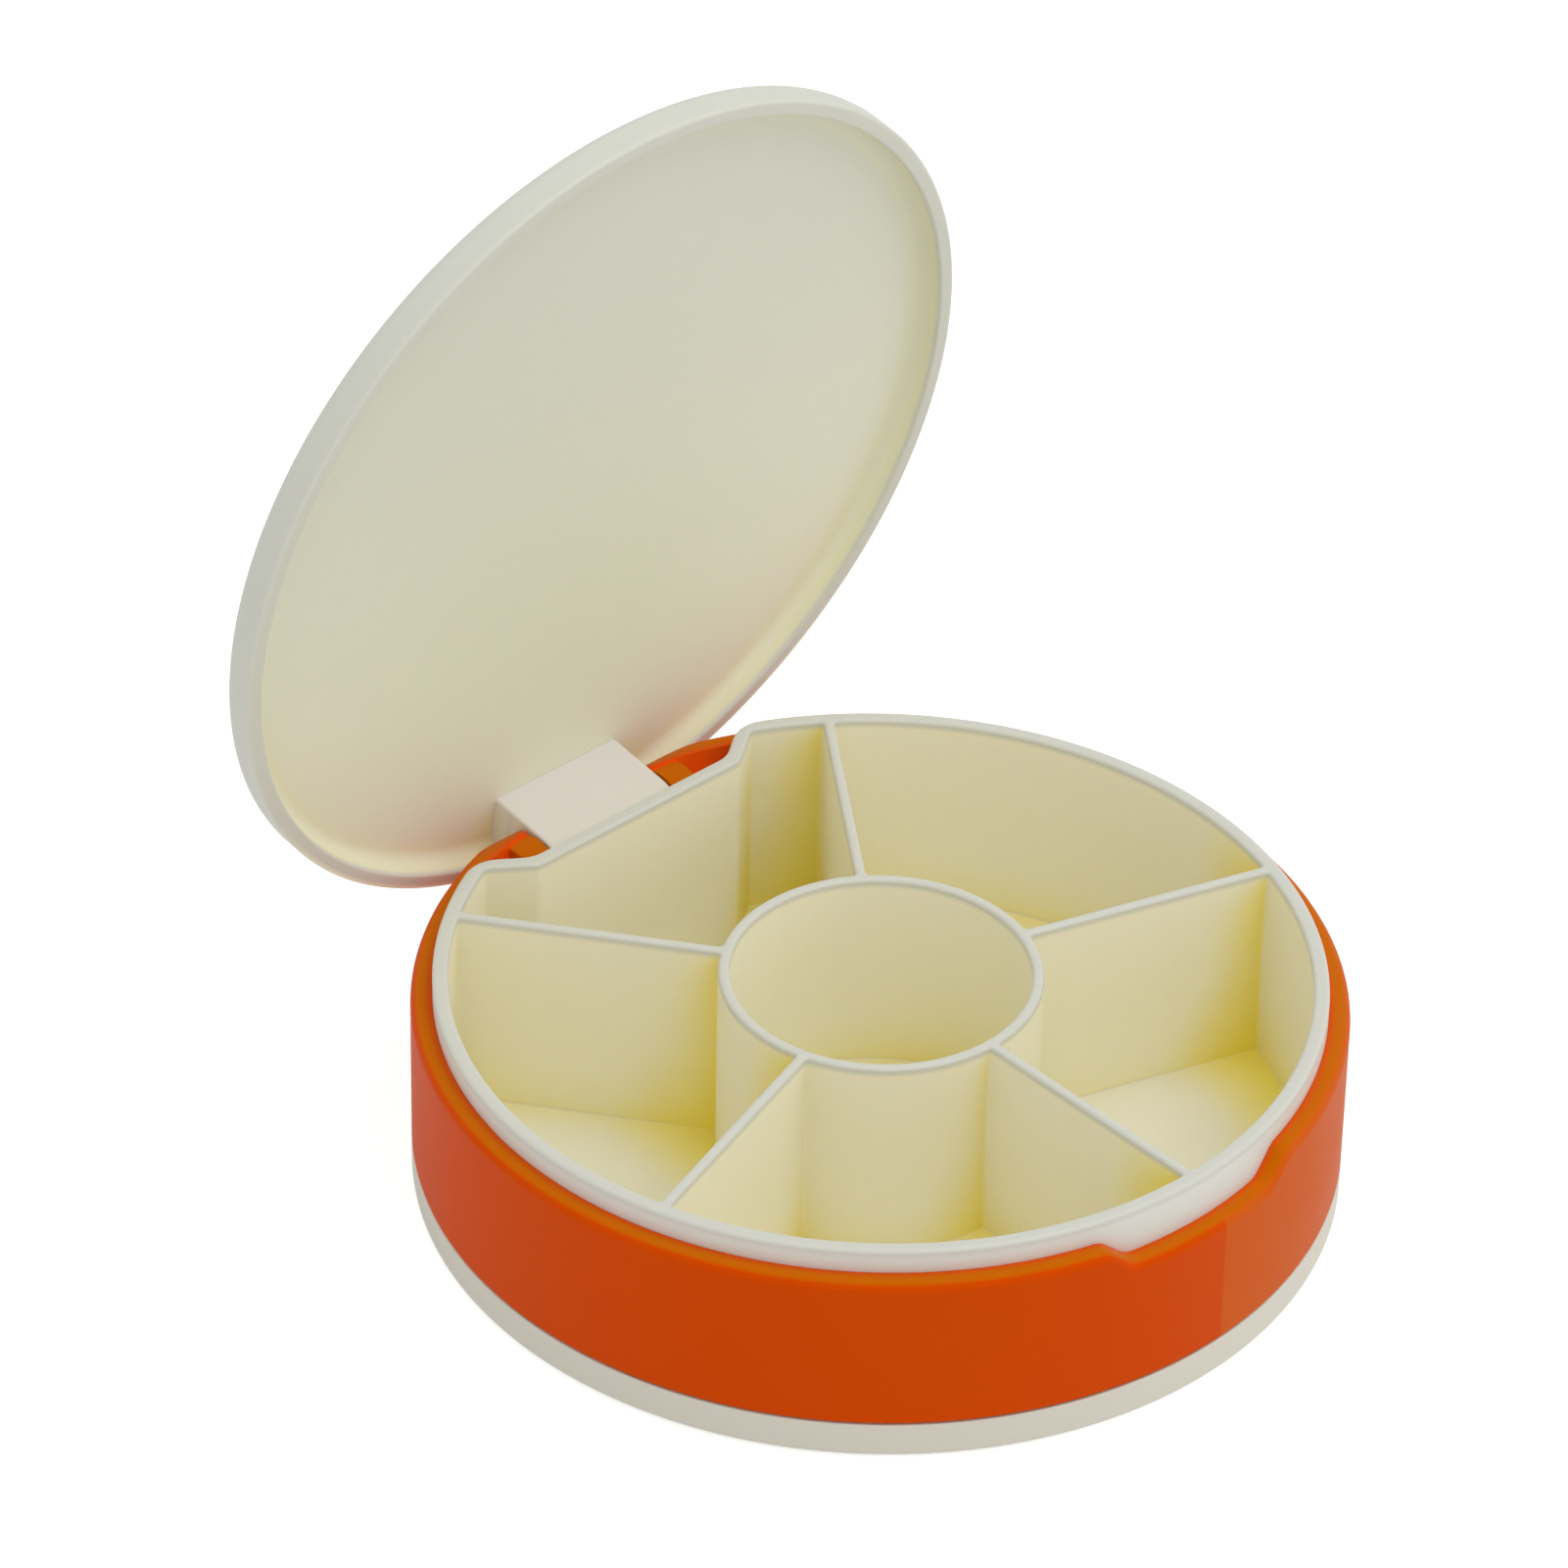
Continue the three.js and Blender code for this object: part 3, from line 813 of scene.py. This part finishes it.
block = [Vector((hinge_y - knuckle_radius, lid_face + knuckle_root))]
block += arc(hinge_y, hinge_z, knuckle_radius, 180, 360, steps=36)
block += [Vector((hinge_y + knuckle_radius, lid_face + knuckle_root))]
knuckle = across("knuckle", block, knuckle_half, knuckle_edge)
knuckle_limit = lid_radius - knuckle_inset
trim = [(0, 0), (knuckle_limit, 0), (knuckle_limit, lid_top), (0, lid_top)]
combine(knuckle, revolve("trim", trim, turn_steps), "INTERSECT")
combine(lid, knuckle, "UNION")
combine(lid, across("bore", bore_shape, lug_end + bore_past), "DIFFERENCE")
lid.name = "lid_cap"

lid_cream, tree, shader, place, grained = plastic("lid_cream", grain=0.35, scuffs=0.6)
stand_open = math.radians(hinge["range_deg"][1])
pivot = Vector((0, hinge_y * MM, hinge_z * MM))
closed = add_node(tree, "ShaderNodeVectorRotate", {"rotation_type": "X_AXIS"}, Vector=place)
closed.inputs["Center"].default_value = pivot
closed.inputs["Angle"].default_value = stand_open
axes = add_node(tree, "ShaderNodeSeparateXYZ", None, Vector=closed.outputs[0])
lit_near_hinge = blend_colours(tree, grained.outputs["Mottle"], near_painted_light, near_lit_mottled)
# Painted light: the plate grows lighter and warmer towards the hinge.
plate = blend_colours(tree, fade(tree, axes.outputs["Y"], -38, 36), far_cream, lit_near_hinge)
sideways = reckon(tree, "ABSOLUTE", axes.outputs["X"])
beside = fade(tree, sideways, knuckle_half - 0.1, knuckle_half + 0.1)
knuckle_front = hinge_y - knuckle_radius
in_front = fade(tree, axes.outputs["Y"], knuckle_front, knuckle_front - 0.2)
above = fade(tree, axes.outputs["Z"], lid_face + 0.1, lid_face + 0.5)
off_knuckle = either(tree, either(tree, beside, in_front), above)
reach = from_axis(tree, closed.outputs[0])
# Painted shade: the cove round the plate goes yellower where it lies deep in its corner.
near_rim = both(tree, fade(tree, reach, lid_bore - 5.5, lid_bore - 3.5), off_knuckle)
shaded_cove = both(tree, occlusion_shade_mask(tree, reach=5, start=0.95, end=0.45), near_rim)
plate_and_cove_shade = blend_colours(tree, shaded_cove, plate, painted_cove_shade)
capped = blend_colours(tree, off_knuckle, knuckle_cream, plate_and_cove_shade)
# Painted light and shade: the lip, the bore edge and the outer skirt are a greyer, cooler cream than the
# plate, for how light falls on them.
lip = fade(tree, axes.outputs["Z"], lid_lip + 0.9, lid_lip + 0.1)
edge = fade(tree, reach, lid_bore - 0.2, lid_bore + 0.6)
skirt = fade(tree, axes.outputs["Z"], lid_lip - 0.4, lid_lip)
outer = both(tree, both(tree, either(tree, lip, edge), skirt), off_knuckle)
skinned = blend_colours(tree, outer, capped, lip_painted_light)
# Painted light: the lid's outer edge near the hinge is a brighter cream, lifting the shade the ring casts
# there.
hinge_side = fade(tree, axes.outputs["Y"], 20, 34)
lit_low_edge = both(tree, hinge_side, fade(tree, reach, lid_radius - 0.715, lid_radius - 0.215))
colour = blend_colours(tree, lit_low_edge, skinned, low_edge_painted_light)
tree.links.new(colour, shader.inputs["Base Color"])
roughen(tree, shader, grained, low=0.4, high=0.48, bump=0.016)
let_light_in(shader, gloss=0.42, share=0.25, radius=(1.0, 0.85, 0.5), depth=1.2)

surface(lid, lid_cream)
swing = Matrix.Translation(pivot) @ Matrix.Rotation(-stand_open, 4, "X") @ Matrix.Translation(-pivot)
lid.data.transform(swing)
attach(lid, "lid")
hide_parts("lid")

# ---- floor ---------------------------------------------------------------------------------------------
# A table of white acrylic that glows softly, as product tables do. It is only there to stand the box
# on and isn't part of it.

table_reach = 6
table_drop = 0.0001
dull_white = (0.75, 0.75, 0.75)
hazy_white = (0.77, 0.77, 0.77)
glow_on_box = 0.14
glow_seen = 0.58

table = bmesh.new()
bmesh.ops.create_grid(table, x_segments=8, y_segments=8, size=table_reach)
floor = solid("floor", table)
if floor.data.polygons[0].normal.z < 0:
    floor.data.flip_normals()
floor.location.z = -table_drop
acrylic = bpy.data.materials.new("floor_acrylic")
acrylic.use_nodes = True
tree = acrylic.node_tree
shader = tree.nodes["Principled BSDF"]
place = tree.nodes.new("ShaderNodeTexCoord").outputs["Object"]
haze = cloud(tree, place, scale=3.0, Detail=2.0)
colour = blend_colours(tree, haze, dull_white, hazy_white)
tree.links.new(colour, shader.inputs["Base Color"])
shader.inputs["Roughness"].default_value = 0.6
shader.inputs["Specular IOR Level"].default_value = 0.2
shader.inputs["Emission Color"].default_value = (1, 1, 1, 1)
seen = tree.nodes.new("ShaderNodeLightPath").outputs["Is Camera Ray"]
lit = between(tree, seen, 0, 1, low=glow_on_box, high=glow_seen)
tree.links.new(lit, shader.inputs["Emission Strength"])
floor.data.materials.append(acrylic)

# ---- lights --------------------------------------------------------------------------------------------
# A pale dome all round, a wide softbox overhead and a weaker one at the front right. The camera sees
# plain white behind the table in place of the dome.

dome_strength = 0.66
backdrop_strength = 1.0

dome = bpy.data.worlds.new("dome")
dome.use_nodes = True
tree = dome.node_tree
sky = tree.nodes["Background"]
sky.inputs["Color"].default_value = (1, 1, 1, 1)
sky.inputs["Strength"].default_value = dome_strength
backdrop = add_node(tree, "ShaderNodeBackground", None, Color=(1, 1, 1, 1), Strength=backdrop_strength)
seen = tree.nodes.new("ShaderNodeLightPath").outputs["Is Camera Ray"]
choose = tree.nodes.new("ShaderNodeMixShader")
tree.links.new(seen, choose.inputs[0])
tree.links.new(sky.outputs[0], choose.inputs[1])
tree.links.new(backdrop.outputs[0], choose.inputs[2])
tree.links.new(choose.outputs[0], tree.nodes["World Output"].inputs["Surface"])
bpy.context.scene.world = dome


def softbox(name, place, aim, width, radiance):
    """A square softbox of a given brightness, turned towards a point."""
    lamp = bpy.data.lights.new(name, "AREA")
    lamp.size = width
    lamp.energy = radiance * math.pi * width * width
    box = bpy.data.objects.new(name, lamp)
    bpy.context.scene.collection.objects.link(box)
    box.location = place
    box.rotation_mode = "QUATERNION"
    box.rotation_quaternion = (Vector(aim) - Vector(place)).to_track_quat("-Z", "Y")


softbox("overhead", place=(0.15, -0.35, 1.2), aim=(0, 0, 0), width=1.0, radiance=1.75)
softbox("front_right", place=(1.1, -0.9, 0.7), aim=(0, 0, 0.02), width=0.9, radiance=0.6)

# ---- camera --------------------------------------------------------------------------------------------
# A long lens that looks down on the open box from the front left. It is level but for about a degree,
# and the box stands a little off the middle of the frame.

azimuth = math.radians(-43.43660422)
elevation = math.radians(35.63953789)
roll = math.radians(1.21639733)
distance = 0.80865843
aim_right = -0.0089065
aim_up = 0.0357812
aim_height = 0.0006
back = Vector((
    math.sin(azimuth) * math.cos(elevation),
    -math.cos(azimuth) * math.cos(elevation),
    math.sin(elevation),
))
level = Vector((math.cos(azimuth), math.sin(azimuth), 0))
upright = back.cross(level)
right = level * math.cos(roll) + upright * math.sin(roll)
up = upright * math.cos(roll) - level * math.sin(roll)
aim = right * aim_right + up * aim_up + Vector((0, 0, aim_height))
eye = aim + back * distance

lens = bpy.data.cameras.new("camera")
lens.sensor_width = 36
lens.lens = 191.17
lens.clip_start = 0.05
lens.clip_end = 50
camera = bpy.data.objects.new("camera", lens)
bpy.context.scene.collection.objects.link(camera)
camera.matrix_world = Matrix((
    (right.x, up.x, back.x, eye.x),
    (right.y, up.y, back.y, eye.y),
    (right.z, up.z, back.z, eye.z),
    (0, 0, 0, 1),
))
bpy.context.scene.camera = camera
bpy.context.scene.view_settings.view_transform = "Standard"
